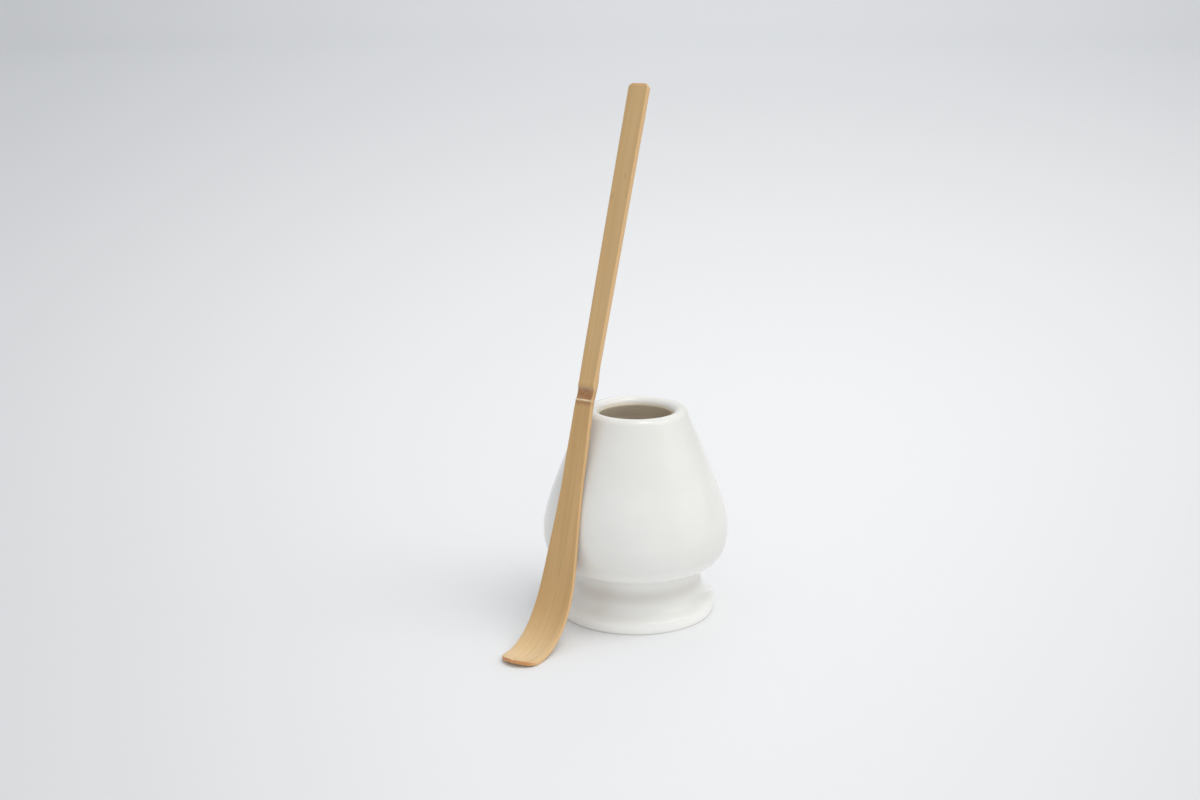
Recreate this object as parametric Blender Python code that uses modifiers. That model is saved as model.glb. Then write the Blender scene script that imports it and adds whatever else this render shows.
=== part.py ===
"""A glazed ceramic tea-whisk holder with the bamboo tea scoop that leans on its shoulder.

Metres, +Z up. The holder's foot and the scoop's toe stand on z = 0, and the middle of the
pair's footprint box is at the origin. Run with: blender --background --python part.py
"""

import math

import bmesh
import bpy
from mathutils import Matrix, Vector

# Holder: overall sizes, at its outside.
HOLDER_HEIGHT = 0.0620
BELLY_RADIUS = 0.0275
BELLY_HEIGHT = 0.0258
WAIST_RADIUS = 0.0193
WAIST_HEIGHT = 0.0134
FOOT_RADIUS = 0.0237
FOOT_FLARE_HEIGHT = 0.0033
FOOT_CONTACT_RADIUS = 0.0230

# Holder: mouth, wall and foot ring.
MOUTH_RADIUS = 0.0110
LIP_ROUND = 0.0023
SHOULDER_SLOPE = math.radians(67.3)
WALL = 0.0036
FLOOR_THICKNESS = 0.0038
FOOT_RING_WIDTH = 0.0045
FOOT_RECESS = 0.0022
RECESS_FILLET = 0.0010

# How far each outer curve holds its direction before it bends.
SHOULDER_PULL = 0.01105
BELLY_PULL_UP = 0.0075
BELLY_PULL_DOWN = 0.0137
WAIST_PULL_UP = 0.0037
WAIST_PULL_DOWN = 0.0085
FOOT_PULL_UP = 0.0006
FOOT_EDGE_PULL = 0.0020
FOOT_RING_PULL = 0.0005

# The inside: how its floor curves up into the wall, and where the wall runs into the lip.
FLOOR_PULL_OUT = 0.75
FLOOR_PULL_UP = 0.35
LIP_BLEND_SLOPE = 0.5

# Scoop: lengths along the strip. Stations are distances below the node, at 0.
HANDLE_LENGTH = 0.0885
BLADE_LENGTH = 0.0895
NODE_LENGTH = 0.0047
TOE_ROUND = 0.0050
END_CHAMFER = 0.0009
NECK_STATION = 0.0220
THIN_STATION = 0.0350
BOWL_STATION = 0.0706

# Scoop: widths and thicknesses where the strip changes.
HANDLE_END_WIDTH = 0.0064
NODE_WIDTH = 0.0052
NECK_WIDTH = 0.0065
BOWL_WIDTH = 0.0114
TOE_END_SHARE = 0.35
HANDLE_WIDENING = 0.7
NECK_WIDENING = 1.4
HANDLE_THICKNESS = 0.0019
NODE_BULGE = 0.0007
NODE_SPREAD = 0.0033
BLADE_THICKNESS = 0.0013
TOE_THICKNESS = 0.0011
CORNER_SHARE = 0.22

# Scoop: the bend of the blade below the node.
BACK_SET = math.radians(3.1)
BACK_SET_LENGTH = 0.0094
TOE_CURL = math.radians(93.4)
CURL_START = 0.0500
CURL_POWER = 1.85

# Scoop: how it leans on the holder.
LEAN = math.radians(20.6)
LEAN_AZIMUTH = math.radians(28.5)
FACE_TURN = math.radians(-0.8)
SIDE_OFFSET = -0.0078
SCOOP_GAP = 0.0003

# Smoothness.
TURN_STEPS = 48
CURVE_POINTS = 9
FOOT_CURVE_POINTS = 6
LIP_POINTS = 7
FLOOR_POINTS = 6
FOOT_EDGE_POINTS = 4
FILLET_POINTS = 3
HANDLE_SECTIONS = 9
BLADE_SECTIONS = 34
BLADE_CROWDING = 1.35
NODE_SECTIONS = (-0.6, -0.3, 0.0, 0.3, 0.6, 1.0)
BEND_STEPS = 12
SHARP_ANGLE = math.radians(35)
MERGE_DISTANCE = 0.00001

# How finely the scoop's place against the holder is worked out.
PLACE_STEPS = 40
EDGE_SAMPLES = 4
SMALLEST_DROP = 1e-9


def cubic(start, start_handle, end_handle, end, count):
    """Points along a cubic curve, without its first point."""
    points = []
    for index in range(1, count + 1):
        t = index / count
        u = 1.0 - t
        points.append(
            start * u**3
            + start_handle * 3 * u**2 * t
            + end_handle * 3 * u * t**2
            + end * t**3
        )
    return points


def arc(centre, radius, first_angle, last_angle, count):
    """Points along an arc in the profile's plane, both ends included."""
    points = []
    for index in range(count + 1):
        angle = first_angle + (last_angle - first_angle) * index / count
        points.append(centre + radius * Vector((math.cos(angle), math.sin(angle))))
    return points


def lip_points():
    """The rounded lip, from the inside of the mouth over the top to the shoulder."""
    centre = Vector((MOUTH_RADIUS + LIP_ROUND, HOLDER_HEIGHT - LIP_ROUND))
    return arc(centre, LIP_ROUND, math.pi, math.pi / 2 - SHOULDER_SLOPE, LIP_POINTS)


def outer_points():
    """The outside from the lip's end down to the foot's widest line, as three smooth curves."""
    shoulder = lip_points()[-1]
    shoulder_way = Vector((math.cos(SHOULDER_SLOPE), -math.sin(SHOULDER_SLOPE)))
    belly = Vector((BELLY_RADIUS, BELLY_HEIGHT))
    waist = Vector((WAIST_RADIUS, WAIST_HEIGHT))
    foot = Vector((FOOT_RADIUS, FOOT_FLARE_HEIGHT))
    down = Vector((0.0, -1.0))
    return (
        cubic(
            shoulder,
            shoulder + shoulder_way * SHOULDER_PULL,
            belly - down * BELLY_PULL_UP,
            belly,
            CURVE_POINTS,
        )
        + cubic(
            belly,
            belly + down * BELLY_PULL_DOWN,
            waist - down * WAIST_PULL_UP,
            waist,
            CURVE_POINTS,
        )
        + cubic(
            waist,
            waist + down * WAIST_PULL_DOWN,
            foot - down * FOOT_PULL_UP,
            foot,
            FOOT_CURVE_POINTS,
        )
    )


def foot_points():
    """The foot's rounded edge, its flat ring and the shallow recess inside the ring."""
    edge = cubic(
        Vector((FOOT_RADIUS, FOOT_FLARE_HEIGHT)),
        Vector((FOOT_RADIUS, FOOT_FLARE_HEIGHT - FOOT_EDGE_PULL)),
        Vector((FOOT_CONTACT_RADIUS + FOOT_RING_PULL, 0.0)),
        Vector((FOOT_CONTACT_RADIUS, 0.0)),
        FOOT_EDGE_POINTS,
    )
    ring_inside = FOOT_CONTACT_RADIUS - FOOT_RING_WIDTH
    fillet = Vector((ring_inside - RECESS_FILLET, FOOT_RECESS - RECESS_FILLET))
    return (
        edge
        + [Vector((ring_inside, 0.0))]
        + arc(fillet, RECESS_FILLET, 0.0, math.pi / 2, FILLET_POINTS)
        + [Vector((0.0, FOOT_RECESS))]
    )


def inner_points():
    """The inside from the middle of the floor up to the mouth, one wall inside the outside."""
    outside = lip_points()[-1:] + outer_points()
    floor_height = FOOT_RECESS + FLOOR_THICKNESS
    inside = []
    for index in range(1, len(outside) - 1):
        along = (outside[index + 1] - outside[index - 1]).normalized()
        point = outside[index] + Vector((along.y, -along.x)) * WALL
        from_mouth = point.x - MOUTH_RADIUS
        under_mouth = HOLDER_HEIGHT - 2 * LIP_ROUND - from_mouth * LIP_BLEND_SLOPE
        if WAIST_HEIGHT < point.y < under_mouth and from_mouth > 0:
            inside.append(point)
    inside.reverse()
    floor_middle = Vector((0.0, floor_height))
    rise = (inside[0].y - floor_height) * FLOOR_PULL_UP
    floor_curve = cubic(
        floor_middle,
        Vector((inside[0].x * FLOOR_PULL_OUT, floor_height)),
        Vector((inside[0].x, floor_height + rise)),
        inside[0],
        FLOOR_POINTS,
    )
    return [floor_middle] + floor_curve + inside[1:]


def holder_profile():
    """The closed wall's outline, from the floor's middle inside to the recess's middle below."""
    return inner_points() + lip_points() + outer_points() + foot_points()


def holder_radius(height):
    """The outside's radius at a height above the foot's widest line."""
    outside = lip_points() + outer_points()
    for upper, lower in zip(outside, outside[1:]):
        if lower.y <= height <= upper.y:
            share = (upper.y - height) / max(upper.y - lower.y, SMALLEST_DROP)
            return upper.x + (lower.x - upper.x) * share
    return FOOT_RADIUS if height < FOOT_FLARE_HEIGHT else 0.0


def ease(value):
    """0 to 1 with level ends."""
    value = min(max(value, 0.0), 1.0)
    return value * value * (3.0 - 2.0 * value)


def strip_bend(station):
    """The blade's turn away from the handle's direction, at a distance below the node."""
    settle = BACK_SET * ease(station / BACK_SET_LENGTH)
    share = max(0.0, (station - CURL_START) / (BLADE_LENGTH - CURL_START))
    return -settle + (TOE_CURL + BACK_SET) * share**CURL_POWER


def strip_width(station):
    """The strip's width at a distance below the node; the handle's stations are negative."""
    if station < 0:
        share = -station / HANDLE_LENGTH
        return NODE_WIDTH + (HANDLE_END_WIDTH - NODE_WIDTH) * share**HANDLE_WIDENING
    if station < NECK_STATION:
        share = station / NECK_STATION
        return NODE_WIDTH + (NECK_WIDTH - NODE_WIDTH) * share**NECK_WIDENING
    share = ease((station - NECK_STATION) / (BOWL_STATION - NECK_STATION))
    width = NECK_WIDTH + (BOWL_WIDTH - NECK_WIDTH) * share
    to_end = BLADE_LENGTH - station
    if to_end < TOE_ROUND:
        round_share = math.sqrt(max(0.0, 1.0 - (1.0 - to_end / TOE_ROUND) ** 2))
        width *= max(TOE_END_SHARE, round_share)
    return width


def strip_thickness(station):
    """The strip's thickness at a distance below the node, without the node's bulge."""
    if station < 0:
        return HANDLE_THICKNESS
    thinned = ease(station / THIN_STATION)
    thickness = HANDLE_THICKNESS + (BLADE_THICKNESS - HANDLE_THICKNESS) * thinned
    toe = ease((station - CURL_START) / (BLADE_LENGTH - CURL_START))
    return thickness + (TOE_THICKNESS - BLADE_THICKNESS) * toe


def node_bulge(station):
    """How far the node stands out behind the strip."""
    return NODE_BULGE * math.exp(-((station / NODE_SPREAD) ** 2))


def strip_stations():
    """Distances along the strip, closer together at the node, the curl and the ends."""
    handle = [-HANDLE_LENGTH, -HANDLE_LENGTH + END_CHAMFER]
    reach = HANDLE_LENGTH - END_CHAMFER - NODE_LENGTH
    for index in range(1, HANDLE_SECTIONS):
        handle.append(-HANDLE_LENGTH + END_CHAMFER + reach * index / (HANDLE_SECTIONS - 1))
    node = [NODE_LENGTH * share for share in NODE_SECTIONS]
    blade = []
    for index in range(1, BLADE_SECTIONS + 1):
        share = index / BLADE_SECTIONS
        share = 1.0 - (1.0 - share) ** BLADE_CROWDING
        blade.append(NODE_LENGTH + (BLADE_LENGTH - NODE_LENGTH) * share)
    return handle + node + blade


def strip_sections():
    """Rings of points in the scoop's frame: +Z up the handle, -Y out of its face, node at 0."""
    centre = Vector((0.0, 0.0, 0.0))
    last = 0.0
    rings = []
    for station in strip_stations():
        bend = 0.0
        if station <= 0:
            centre = Vector((0.0, 0.0, -station))
        else:
            for index in range(BEND_STEPS):
                middle = last + (station - last) * (index + 0.5) / BEND_STEPS
                turn = strip_bend(middle)
                way = Vector((0.0, -math.sin(turn), -math.cos(turn)))
                centre = centre + way * (station - last) / BEND_STEPS
            bend = strip_bend(station)
        last = max(station, 0.0)
        front = Vector((0.0, -math.cos(bend), math.sin(bend)))
        width = strip_width(station)
        thickness = strip_thickness(station)
        back = thickness / 2 + node_bulge(station)
        if station == -HANDLE_LENGTH:
            width -= END_CHAMFER
            thickness -= END_CHAMFER
            back = thickness / 2
        rings.append(section_ring(centre, front, width, thickness / 2, back))
    return rings


def section_ring(centre, front, width, front_depth, back_depth):
    """Eight points: a flat strip's section with its four edges cut."""
    side = Vector((1.0, 0.0, 0.0))
    cut = CORNER_SHARE * (front_depth + back_depth)
    half = width / 2
    flat = [
        (-half + cut, front_depth),
        (half - cut, front_depth),
        (half, front_depth - cut),
        (half, -back_depth + cut),
        (half - cut, -back_depth),
        (-half + cut, -back_depth),
        (-half, -back_depth + cut),
        (-half, front_depth - cut),
    ]
    return [centre + side * across + front * out for across, out in flat]


def scoop_turn():
    """The scoop's turn from its own frame to its lean on the holder."""
    away = Matrix.Rotation(-LEAN_AZIMUTH, 3, "Z")
    lean = Matrix.Rotation(-LEAN, 3, "X")
    face = Matrix.Rotation(FACE_TURN, 3, "Z")
    return away @ lean @ face


def smallest_gap(points):
    """The least distance in plan from the points to the holder's outside."""
    gaps = []
    for point in points:
        if point.z < HOLDER_HEIGHT:
            gaps.append(math.hypot(point.x, point.y) - holder_radius(point.z))
    return min(gaps)


def points_between(rings):
    """The rings' points, and points along the edges between them."""
    points = []
    for ring, following in zip(rings, rings[1:]):
        for start, end in zip(ring, following):
            for index in range(EDGE_SAMPLES):
                points.append(start.lerp(end, index / EDGE_SAMPLES))
    return points + rings[-1]


def scoop_place():
    """The node's place, with the holder's axis on Z: toe on z = 0, one gap off the holder."""
    turn = scoop_turn()
    rings = [[turn @ point for point in ring] for ring in strip_sections()]
    points = points_between(rings)
    raise_to_table = -min(point.z for point in points)
    lean_way = Vector((math.sin(LEAN_AZIMUTH), math.cos(LEAN_AZIMUTH), 0.0))
    side_way = Vector((math.cos(LEAN_AZIMUTH), -math.sin(LEAN_AZIMUTH), 0.0))
    near = 0.0
    far = BELLY_RADIUS + BLADE_LENGTH
    for _ in range(PLACE_STEPS):
        middle = (near + far) / 2
        place = side_way * SIDE_OFFSET - lean_way * middle + Vector((0, 0, raise_to_table))
        if smallest_gap([point + place for point in points]) < SCOOP_GAP:
            near = middle
        else:
            far = middle
    return place


def material(name, colour, roughness):
    """A Principled material."""
    made = bpy.data.materials.new(name)
    made.use_nodes = True
    shader = made.node_tree.nodes["Principled BSDF"]
    shader.inputs["Base Color"].default_value = (*colour, 1.0)
    shader.inputs["Roughness"].default_value = roughness
    shader.inputs["Metallic"].default_value = 0.0
    return made


def add_object(name, mesh, collection, look):
    """An object in the collection, with its material."""
    made = bpy.data.objects.new(name, mesh)
    mesh.materials.append(look)
    collection.objects.link(made)
    return made


def make_holder(collection):
    """The hollow holder: one wall's outline turned round Z."""
    mesh = bpy.data.meshes.new("whisk_holder")
    outline = holder_profile()
    points = [(point.x, 0.0, point.y) for point in outline]
    edges = [(index, index + 1) for index in range(len(points) - 1)]
    mesh.from_pydata(points, edges, [])
    look = material("white_glaze", (0.80, 0.79, 0.76), 0.18)
    holder = add_object("whisk_holder", mesh, collection, look)
    screw = holder.modifiers.new("turn", "SCREW")
    screw.axis = "Z"
    screw.angle = 2 * math.pi
    screw.steps = TURN_STEPS
    screw.render_steps = TURN_STEPS
    screw.use_merge_vertices = True
    screw.merge_threshold = MERGE_DISTANCE
    screw.use_smooth_shade = True
    return holder


def make_scoop(collection):
    """The scoop: one bamboo strip, lofted through its sections, in its own frame."""
    rings = strip_sections()
    shape = bmesh.new()
    placed = [[shape.verts.new(point) for point in ring] for ring in rings]
    for ring, following in zip(placed, placed[1:]):
        for index in range(len(ring)):
            after = (index + 1) % len(ring)
            shape.faces.new((ring[index], ring[after], following[after], following[index]))
    shape.faces.new(placed[0])
    shape.faces.new(placed[-1])
    bmesh.ops.recalc_face_normals(shape, faces=shape.faces)
    mesh = bpy.data.meshes.new("tea_scoop")
    shape.to_mesh(mesh)
    shape.free()
    mesh.shade_smooth()
    mesh.set_sharp_from_angle(angle=SHARP_ANGLE)
    look = material("bamboo", (0.50, 0.35, 0.19), 0.45)
    return add_object("tea_scoop", mesh, collection, look)


def footprint_middle(scoop, place):
    """The middle in plan of the box round the holder and the placed scoop."""
    turn = scoop_turn()
    points = [turn @ vertex.co + place for vertex in scoop.data.vertices]
    reach = max(BELLY_RADIUS, FOOT_RADIUS)
    low_x = min(-reach, min(point.x for point in points))
    high_x = max(reach, max(point.x for point in points))
    low_y = min(-reach, min(point.y for point in points))
    high_y = max(reach, max(point.y for point in points))
    return Vector(((low_x + high_x) / 2, (low_y + high_y) / 2, 0.0))


def main():
    for old in list(bpy.data.objects):
        bpy.data.objects.remove(old)
    collection = bpy.data.collections.new("tea_whisk_holder_and_scoop")
    bpy.context.scene.collection.children.link(collection)
    stand = bpy.data.objects.new("holder_axis", None)
    collection.objects.link(stand)
    holder = make_holder(collection)
    scoop = make_scoop(collection)
    place = scoop_place()
    stand.location = -footprint_middle(scoop, place)
    holder.parent = stand
    scoop.parent = stand
    scoop.matrix_local = Matrix.Translation(place) @ scoop_turn().to_4x4()


if __name__ == "__main__":
    main()
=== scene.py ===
"""Looks of a glazed tea-whisk holder and the bamboo tea scoop that leans on it.

Metres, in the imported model's frame. The holder is turned by a node tree from one outline, the
scoop is carved in mesh code along its bent strip, and the stage is a round studio sweep.
"""

import math

import bmesh
import bpy
from mathutils import Matrix, Vector


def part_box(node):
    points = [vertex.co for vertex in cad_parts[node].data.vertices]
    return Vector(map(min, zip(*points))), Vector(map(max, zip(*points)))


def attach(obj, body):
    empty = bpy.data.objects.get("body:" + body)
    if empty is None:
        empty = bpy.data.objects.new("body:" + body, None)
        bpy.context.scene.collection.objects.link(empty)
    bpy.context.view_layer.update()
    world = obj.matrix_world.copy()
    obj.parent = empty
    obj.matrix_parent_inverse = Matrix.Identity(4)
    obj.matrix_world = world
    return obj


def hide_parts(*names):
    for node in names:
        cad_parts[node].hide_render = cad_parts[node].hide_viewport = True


bl_info = {
    "name": "Tea Whisk Holder and Scoop",
    "version": (1, 0, 0),
    "blender": (4, 5, 0),
    "location": "View3D > Sidebar > Tea Set",
    "description": "Builds a glazed tea-whisk holder, a bamboo tea scoop and a studio stage",
    "category": "Object",
}

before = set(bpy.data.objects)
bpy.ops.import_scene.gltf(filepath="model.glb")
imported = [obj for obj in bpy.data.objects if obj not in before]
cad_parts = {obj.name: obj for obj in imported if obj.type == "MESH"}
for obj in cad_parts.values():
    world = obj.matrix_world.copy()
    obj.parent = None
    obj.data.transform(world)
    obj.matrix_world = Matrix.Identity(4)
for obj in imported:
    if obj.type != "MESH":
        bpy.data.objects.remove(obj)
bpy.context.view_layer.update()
HOLDER_LOW, HOLDER_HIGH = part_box("whisk_holder")
HOLDER_AXIS = Vector(
    ((HOLDER_LOW.x + HOLDER_HIGH.x) / 2, (HOLDER_LOW.y + HOLDER_HIGH.y) / 2, 0.0)
)


# ---- settings


def amount(name, description, default, **kind):
    """A plain number, unless its kind says more."""
    return bpy.props.FloatProperty(name=name, description=description, default=default, **kind)


def length(name, description, default):
    """A size in metres."""
    kind = {"min": 0.0, "precision": 5, "subtype": "DISTANCE", "unit": "LENGTH"}
    return amount(name, description, default, **kind)


def turn(name, description, degrees):
    """An angle, given in degrees and kept in radians."""
    return amount(name, description, math.radians(degrees), subtype="ANGLE", unit="ROTATION")


def share(name, description, default):
    """A plain number from 0 to 1."""
    return amount(name, description, default, min=0.0, max=1.0, subtype="FACTOR")


def colour(name, description, default):
    """A linear colour."""
    kind = {"size": 3, "min": 0.0, "max": 1.0, "subtype": "COLOR"}
    return bpy.props.FloatVectorProperty(
        name=name, description=description, default=default, **kind
    )


class HolderSettings(bpy.types.PropertyGroup):
    """Sizes and finish of the ceramic holder."""

    height: length("Height", "Foot ring to the lip's top", HOLDER_HIGH.z)
    belly_radius: length(
        "Belly Radius", "Widest radius of the bell", (HOLDER_HIGH.x - HOLDER_LOW.x) / 2
    )
    belly_height: length("Belly Height", "Height of the widest line", 0.0258)
    waist_radius: length("Waist Radius", "Narrowest radius, above the foot", 0.0193)
    waist_height: length("Waist Height", "Height of the waist", 0.0134)
    foot_radius: length("Foot Radius", "Widest radius of the foot", 0.0237)
    foot_height: length("Foot Height", "Height of the foot's widest line", 0.0033)
    foot_contact: length("Foot Contact", "Outer radius of the flat foot ring", 0.0230)
    mouth_radius: length("Mouth Radius", "Inner radius of the mouth", 0.0110)
    lip_round: length("Lip Round", "Rounding of the lip", 0.0023)
    wall: length("Wall", "Thickness of the ceramic", 0.0036)
    floor: length("Floor", "Thickness of the hollow's floor", 0.0038)
    ring_width: length("Ring Width", "Width of the foot ring", 0.0045)
    recess: length("Recess", "Depth of the recess inside the foot ring", 0.0022)
    recess_fillet: length("Recess Fillet", "Rounding inside the recess", 0.0010)
    shoulder_slope: turn("Shoulder Slope", "How steeply the shoulder leaves the lip", 67.3)
    glaze_end: length("Glaze End", "How far below the lip's top the inside glaze stops", 0.0015)
    glaze: colour("Glaze", "Colour of the glaze", (0.80, 0.79, 0.755))
    # Painted light: a lighter glaze on the band under the belly and on the foot.
    glaze_painted_light: colour("Thick Glaze", "Glaze where it is thick", (0.90, 0.892, 0.86))
    glaze_thin: colour("Thin Glaze", "Glaze where it runs thin over an edge", (0.74, 0.71, 0.64))
    clay: colour("Clay", "Bare fired clay inside and on the foot ring", (0.90, 0.81, 0.66))
    roughness: share("Roughness", "Roughness of the glaze", 0.10)


class ScoopSettings(bpy.types.PropertyGroup):
    """Sizes and finish of the bamboo scoop."""

    handle_length: length("Handle", "Node to the handle's end", 0.0885)
    blade_length: length("Blade", "Node to the toe's end", 0.0895)
    node_length: length("Node", "Length of the node's hollow band", 0.0047)
    toe_round: length("Toe Round", "Length of the toe's rounding", 0.0050)
    end_cut: length("End Cut", "Cut across the handle's end corners", 0.0011)
    neck_station: length("Neck", "Where the blade starts to widen", 0.0220)
    bowl_station: length("Bowl", "Where the blade is widest", 0.0706)
    thin_length: length("Thinning", "How soon the blade thins below the node", 0.0350)
    handle_width: length("Handle Width", "Width at the handle's end", 0.0064)
    node_width: length("Node Width", "Width at the node", 0.0052)
    neck_width: length("Neck Width", "Width at the neck", 0.0065)
    bowl_width: length("Bowl Width", "Width at the bowl", 0.0114)
    handle_thickness: length("Handle Thickness", "Thickness of the handle", 0.0019)
    blade_thickness: length("Blade Thickness", "Thickness of the blade", 0.0013)
    toe_thickness: length("Toe Thickness", "Thickness at the toe", 0.0011)
    node_bulge: length("Node Bulge", "How far the node stands out behind", 0.0007)
    edge_round: length("Edge Round", "Rounding of the strip's long edges", 0.00022)
    back_set: turn("Back Set", "Turn of the blade behind the handle's line", 3.1)
    back_set_length: length("Back Set Length", "Length of that turn", 0.0094)
    toe_curl: turn("Toe Curl", "Turn of the toe", 93.4)
    curl_start: length("Curl Start", "Where the curl starts", 0.0500)
    curl_power: amount("Curl Power", "How sharply the curl tightens to the toe", 1.85)
    lean: turn("Lean", "Lean off the vertical", 20.6)
    lean_way: turn("Lean Way", "Direction of the lean, from +Y towards +X", 28.5)
    face_turn: turn("Face Turn", "Turn of the strip about its own length", -0.8)
    place: bpy.props.FloatVectorProperty(
        name="Place",
        description="The node's place from the holder's axis, as the packed part has it",
        default=(-0.013751, -0.008979, 0.071345),
        size=3,
        precision=6,
        subtype="XYZ",
    )
    skin: colour("Face", "Colour of the carved face", (0.61, 0.395, 0.177))
    blade: colour("Blade Colour", "Deeper colour of the blade's face", (0.565, 0.350, 0.146))
    # The bowl's paler colour is partly its own and partly painted light and sheen on its upturned
    # face.
    bowl: colour("Bowl Colour", "Paler colour of the curled bowl", (0.78, 0.56, 0.30))
    side: colour("Side", "Colour of the cut sides", (0.70, 0.45, 0.217))
    node_colour: colour("Node Colour", "Brown of the node's hollow", (0.33, 0.155, 0.065))
    ridge_colour: colour("Ridge", "Pale line of the node's ridge", (0.86, 0.70, 0.47))
    end_colour: colour("End Grain", "Colour of the end grain", (0.55, 0.26, 0.10))
    roughness: share("Roughness", "Roughness of the carved bamboo", 0.42)


class StageSettings(bpy.types.PropertyGroup):
    """The studio round the object."""

    floor: colour("Floor", "Colour of the sweep", (0.842, 0.846, 0.853))
    shade: amount("Shade", "How much the sweep darkens to both sides", 1.4)
    sky: amount("Sky", "Strength of the soft light from all round", 0.80)
    key: amount("Key", "Power of the large light at the upper right, in watts", 12.4)
    side: amount("Side", "Power of the low light at the right, in watts", 5.4)
    front: amount("Front", "Power of the low light in front, in watts", 6.0)
    far: amount("Far", "Power of the light over the far floor, in watts", 7.0)
    near_shade: amount("Near Shade", "How much the sweep darkens towards the viewer", 0.5)
    spark: amount("Spark", "Power of the light overhead that glints on the lip, in watts", 2.8)
    focal_length: amount(
        "Focal Length", "The camera's focal length on a 36 mm sensor, in millimetres", 50.01
    )
    distance: length("Distance", "Camera to the holder's axis, along the floor", 0.4719)
    camera_height: length("Camera Height", "Camera above the floor", 0.1907)
    pitch: turn("Pitch", "How far the camera looks down", 15.0)
    heading: turn("Heading", "How far the camera looks to the right of +Y", -1.27)
    roll: turn("Roll", "The camera's roll", -0.23)


# ---- small helpers


def ease(value):
    """0 to 1 with level ends."""
    value = min(max(value, 0.0), 1.0)
    return value * value * (3.0 - 2.0 * value)


def bump_at(value, centre, half_width):
    """A smooth bump: 1 at the centre, 0 half a width away and beyond."""
    return ease(1.0 - abs(value - centre) / half_width)


def cubic(start, start_handle, end_handle, end, count):
    """Points along a cubic curve, without its first point."""
    points = []
    for index in range(1, count + 1):
        t = index / count
        u = 1.0 - t
        points.append(
            start * u**3 + start_handle * 3 * u**2 * t + end_handle * 3 * u * t**2 + end * t**3
        )
    return points


def arc(centre, radius, first, last, count):
    """Points along an arc, both ends included."""
    points = []
    for index in range(count + 1):
        angle = first + (last - first) * index / count
        points.append(centre + radius * Vector((math.cos(angle), math.sin(angle))))
    return points


def new_object(name, mesh):
    """An object that holds the mesh, in the scene."""
    made = bpy.data.objects.new(name, mesh)
    bpy.context.scene.collection.objects.link(made)
    return made


# ---- node building


def smooth_mesh(shape, name):
    """The shape as a smooth mesh; the shape is freed."""
    mesh = bpy.data.meshes.new(name)
    shape.to_mesh(mesh)
    shape.free()
    mesh.shade_smooth()
    return mesh


class Board:
    """A node tree with short ways to add and join nodes."""

    def __init__(self, tree):
        self.tree = tree

    def add(self, kind, **values):
        """A node with its properties set."""
        made = self.tree.nodes.new(kind)
        for name, value in values.items():
            setattr(made, name, value)
        return made

    def join(self, source, target):
        """A link; a plain value is set on the socket instead."""
        if isinstance(source, bpy.types.NodeSocket):
            self.tree.links.new(source, target)
        else:
            target.default_value = source

    def maths(self, operation, first, second=0.0, third=0.0):
        """A Math node's result."""
        made = self.add("ShaderNodeMath", operation=operation)
        for socket, value in zip(made.inputs, (first, second, third)):
            self.join(value, socket)
        return made.outputs[0]

    def spread(self, value, low, high, new_low, new_high, smooth=False):
        """A Map Range node's result."""
        made = self.add("ShaderNodeMapRange")
        made.interpolation_type = "SMOOTHSTEP" if smooth else "LINEAR"
        names = ("Value", "From Min", "From Max", "To Min", "To Max")
        for name, given in zip(names, (value, low, high, new_low, new_high)):
            self.join(given, made.inputs[name])
        return made.outputs["Result"]

    def blend(self, factor, first, second, way="MIX"):
        """A colour mix."""
        made = self.add("ShaderNodeMix", data_type="RGBA", blend_type=way)
        self.join(factor, made.inputs[0])
        for given, socket in ((first, made.inputs[6]), (second, made.inputs[7])):
            self.join((*given, 1.0) if isinstance(given, tuple) else given, socket)
        return made.outputs[2]

    def noise(self, vector, scale, detail=2.0, roughness=0.5):
        """A Noise Texture's factor."""
        made = self.add("ShaderNodeTexNoise", noise_dimensions="3D")
        self.join(vector, made.inputs["Vector"])
        made.inputs["Scale"].default_value = scale
        made.inputs["Detail"].default_value = detail
        made.inputs["Roughness"].default_value = roughness
        return made.outputs["Fac"]

    def stretched(self, vector, scale, offset=(0.0, 0.0, 0.0)):
        """The vector scaled along each of its axes."""
        made = self.add("ShaderNodeMapping")
        self.join(vector, made.inputs["Vector"])
        made.inputs["Scale"].default_value = scale
        made.inputs["Location"].default_value = offset
        return made.outputs["Vector"]

    def cells(self, vector, scale):
        """The distance to the nearest point of a Voronoi Texture."""
        made = self.add("ShaderNodeTexVoronoi", feature="F1")
        self.join(vector, made.inputs["Vector"])
        made.inputs["Scale"].default_value = scale
        return made.outputs["Distance"]

    def parts(self, vector):
        """The vector's X, Y and Z."""
        made = self.add("ShaderNodeSeparateXYZ")
        self.join(vector, made.inputs[0])
        return made.outputs

    def vector(self, x, y, z):
        """A vector of three values."""
        made = self.add("ShaderNodeCombineXYZ")
        for socket, value in zip(made.inputs, (x, y, z)):
            self.join(value, socket)
        return made.outputs[0]

    def attribute(self, name, output="Fac"):
        """A named attribute of the mesh."""
        return self.add("ShaderNodeAttribute", attribute_name=name).outputs[output]

    def step(self, kind, body, values, **properties):
        """A node that changes the geometry, with its other inputs given by name."""
        made = self.add(kind, **properties)
        self.join(body, made.inputs[0])
        for name, value in values.items():
            self.join(value, made.inputs[name])
        return made.outputs[0]


def new_material(name):
    """A material, its board, and its Principled shader."""
    made = bpy.data.materials.new(name)
    made.use_nodes = True
    made.node_tree.nodes.clear()
    board = Board(made.node_tree)
    out = board.add("ShaderNodeOutputMaterial")
    shader = board.add("ShaderNodeBsdfPrincipled")
    board.join(shader.outputs[0], out.inputs["Surface"])
    return made, board, shader


def dimmed(tone, part):
    """A colour with each of its values scaled."""
    return tuple(value * part for value in tone)


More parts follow.
